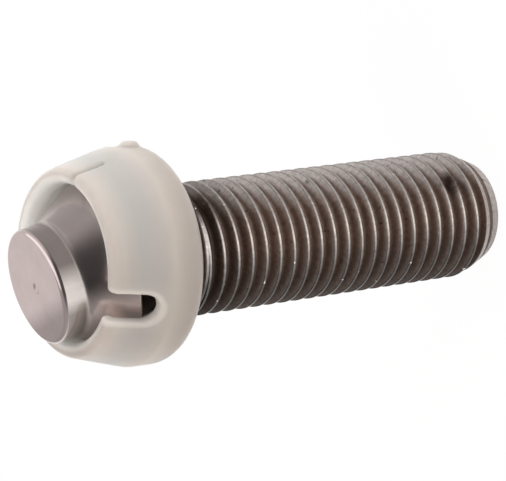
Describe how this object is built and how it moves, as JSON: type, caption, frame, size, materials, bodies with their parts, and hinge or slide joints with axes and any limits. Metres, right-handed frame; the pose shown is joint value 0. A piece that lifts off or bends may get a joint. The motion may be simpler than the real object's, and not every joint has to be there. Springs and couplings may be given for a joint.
{
  "type": "rocker arm adjusting screw",
  "caption": "Threaded steel screw with a ball end that carries a swivelling flat pad, kept on by a slotted plastic snap retainer; sets the valve clearance of a rocker arm.",
  "frame": {"origin": "centre of the screw's flat driven end, on the screw's axis", "axes": "+Z along the screw towards the pad, +X beside the retainer's wide slot, which rests 3 degrees short of it, with the pad leaning towards -Y at rest"},
  "size_m": [0.0162, 0.0164, 0.0404],
  "materials": {
    "screw_steel": "rolled thread, dark oiled steel",
    "natural_nylon": "moulded, milky and slightly translucent",
    "pad_steel": "ground and polished"
  },
  "bodies": {
    "screw": {"adjusting_screw": "screw_steel"},
    "retainer": {"retainer": "natural_nylon"},
    "pad": {"swivel_pad": "pad_steel"}
  },
  "joints": [
    {"name": "retainer_turn", "type": "hinge", "parent": "screw", "child": "retainer", "pos_m": [0, 0, 0.03268], "axis": [0, 0, 1], "continuous": true},
    {"name": "pad_swing", "type": "hinge", "parent": "retainer", "child": "pad", "pos_m": [0, 0, 0.03268], "axis": [1, 0, 0], "range_deg": [-24, 0]}
  ]
}
